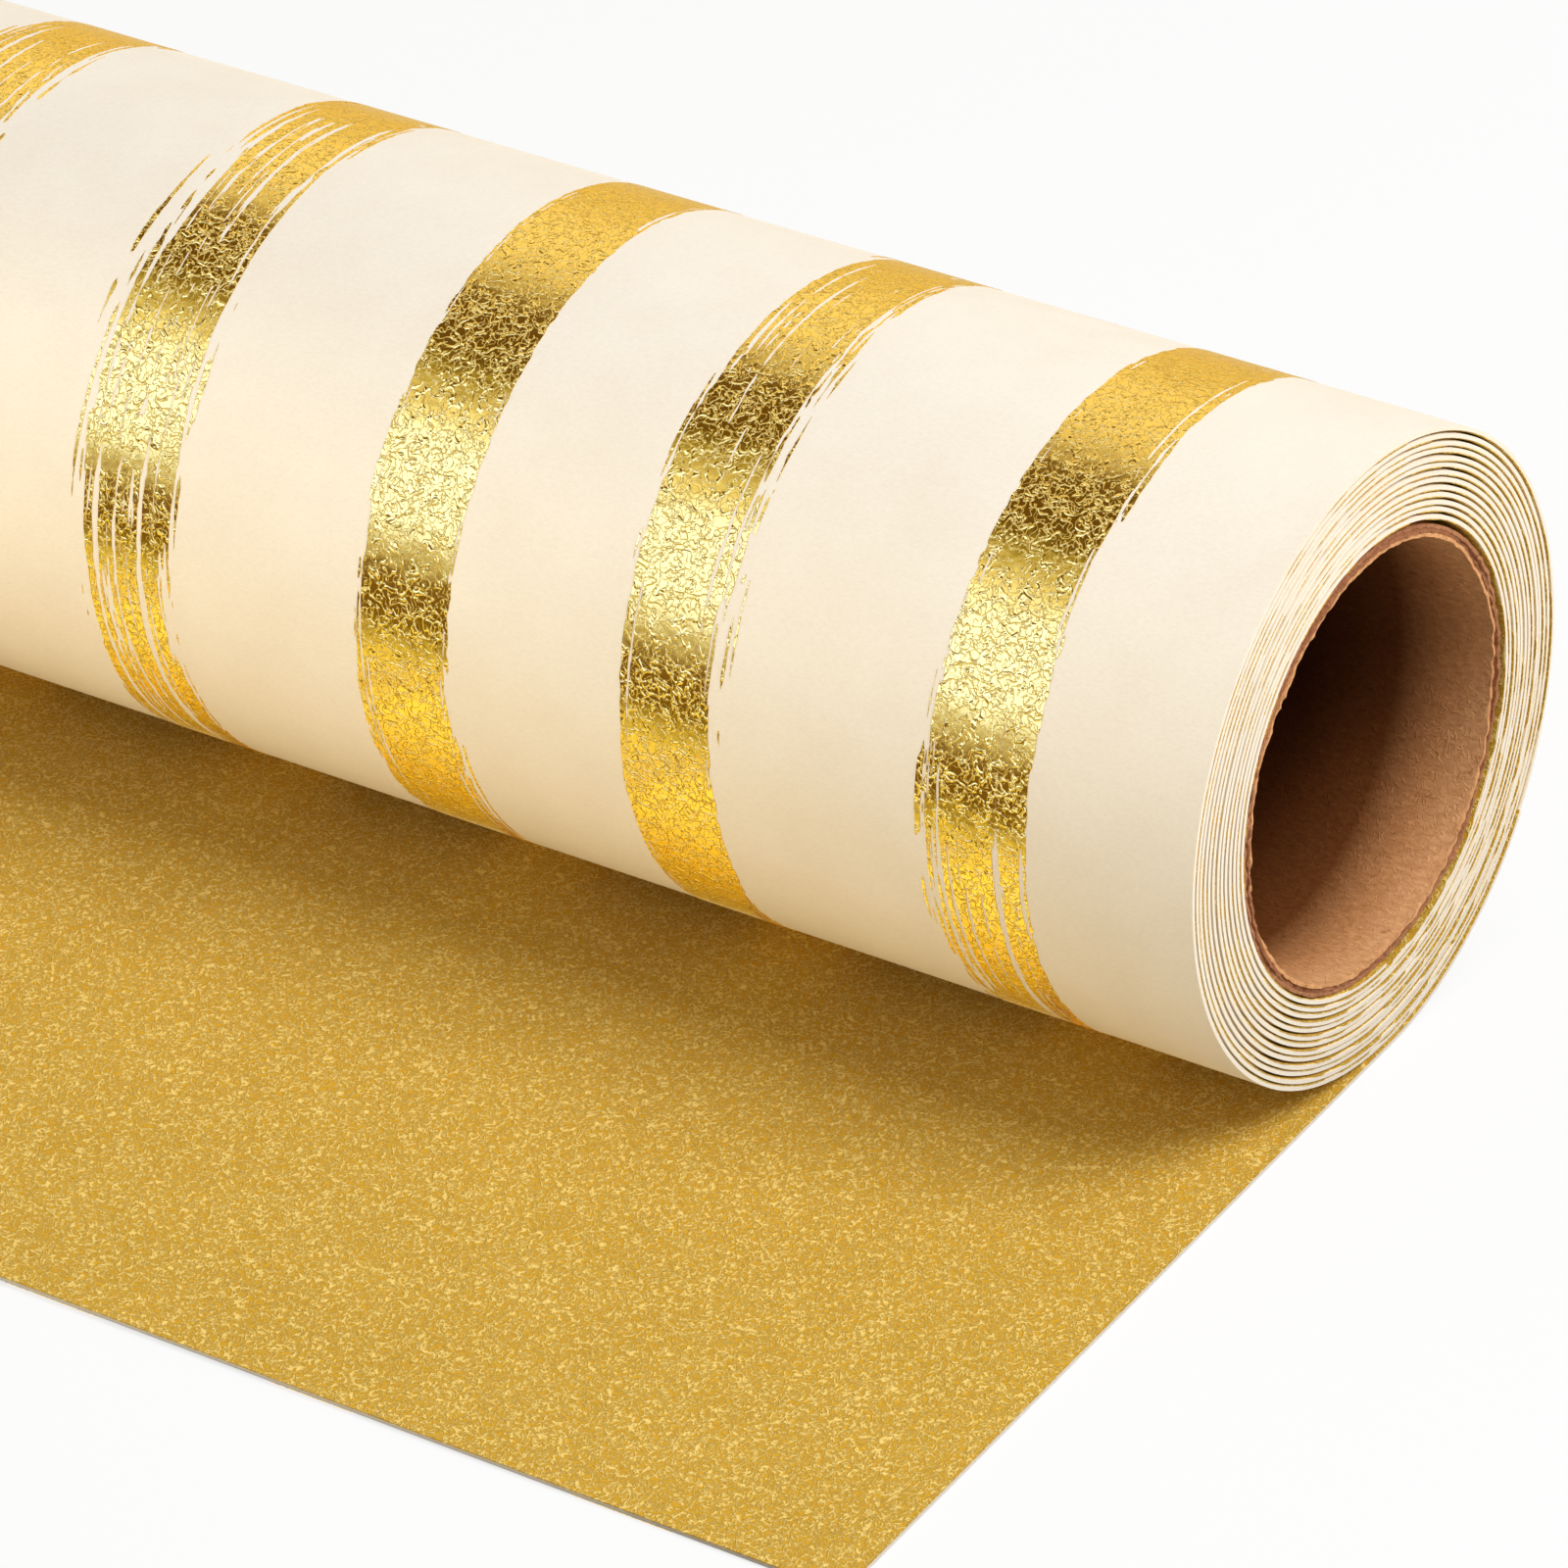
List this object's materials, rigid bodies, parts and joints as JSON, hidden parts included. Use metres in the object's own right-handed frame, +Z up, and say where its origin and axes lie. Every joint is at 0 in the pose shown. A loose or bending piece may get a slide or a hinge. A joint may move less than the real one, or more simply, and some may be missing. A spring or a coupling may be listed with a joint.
{
  "type": "wrapping paper roll",
  "caption": "Roll of gold-striped cream wrapping paper on an open kraft core, with the end of the web laid out gold side up.",
  "frame": {"origin": "on the table, straight below the roll's axis, at the middle of the roll's length", "axes": "+X along the roll, -Y towards the laid-out end of the web, +Z up"},
  "size_m": [0.432, 0.1045, 0.0535],
  "materials": {
    "kraft_board": "raw brown kraft board, matte, fibrous at the cut ends",
    "glue": "dried paste, semi-matte",
    "cream_paper": "uncoated cream, matte with a faint fibre grain",
    "gold_backing": "metallic gold ink on paper, satin with a fine grain",
    "gold_foil": "hammered gold foil, bright"
  },
  "bodies": {
    "laid_sheet": {"laid_sheet_paper": "cream_paper", "laid_sheet_gold_backing": "gold_backing"},
    "lead_off": {"lead_off_paper": "cream_paper", "lead_off_gold_backing": "gold_backing"},
    "roll": {"core_inner_ply": "kraft_board", "core_middle_ply": "kraft_board", "core_outer_ply": "kraft_board", "core_glue_strip": "glue", "wound_paper": "cream_paper", "wound_gold_backing": "gold_backing", "foil_stripe_01": "gold_foil", "foil_stripe_02": "gold_foil", "foil_stripe_03": "gold_foil", "foil_stripe_04": "gold_foil", "foil_stripe_05": "gold_foil", "foil_stripe_06": "gold_foil", "foil_stripe_07": "gold_foil", "foil_stripe_08": "gold_foil", "foil_stripe_09": "gold_foil", "foil_stripe_10": "gold_foil", "foil_stripe_11": "gold_foil", "foil_stripe_12": "gold_foil", "foil_stripe_13": "gold_foil", "foil_stripe_14": "gold_foil", "foil_stripe_15": "gold_foil"}
  },
  "joints": [
    {"name": "roll_travel", "type": "slide", "parent": "laid_sheet", "child": "lead_off", "axis": [0, 1, 0], "range_m": [-0.045, 0.168], "deforming": ["laid_sheet_paper", "laid_sheet_gold_backing"]},
    {"name": "roll_turn", "type": "hinge", "parent": "lead_off", "child": "roll", "pos_m": [0, 0, 0.02723], "axis": [1, 0, 0], "range_deg": [-358, 97]}
  ],
  "couplings": [
    {"joint": "roll_turn", "follows": "roll_travel", "rad_per_m": -36.941}
  ]
}
